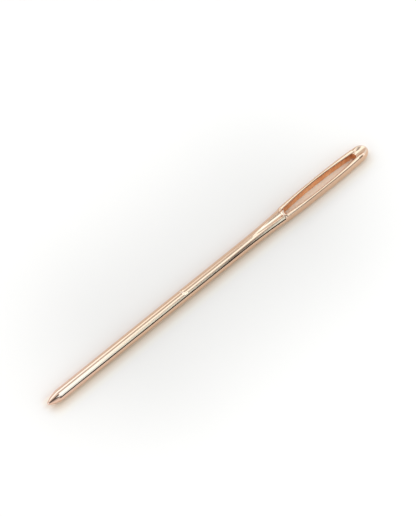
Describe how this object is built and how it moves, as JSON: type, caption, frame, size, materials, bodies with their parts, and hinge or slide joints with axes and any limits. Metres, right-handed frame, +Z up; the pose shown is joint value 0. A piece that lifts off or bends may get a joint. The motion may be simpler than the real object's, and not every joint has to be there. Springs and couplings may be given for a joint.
{
  "type": "yarn needle",
  "caption": "Blunt metal yarn needle with a long open eye, grooved above and below, and a domed head.",
  "frame": {"origin": "on the surface that the needle lies on, below the middle of its length", "axes": "+X along the needle from the point to the head, +Y across the eye to the left bar, +Z up through the slot of the eye"},
  "size_m": [0.07, 0.0028, 0.0021],
  "materials": {
    "plated_wire": "steel wire, scoured, polished and plated in rose gold"
  },
  "bodies": {
    "root": {"point": "plated_wire", "shank": "plated_wire", "shoulder": "plated_wire", "left_eye_bar": "plated_wire", "right_eye_bar": "plated_wire", "head": "plated_wire"}
  },
  "joints": []
}
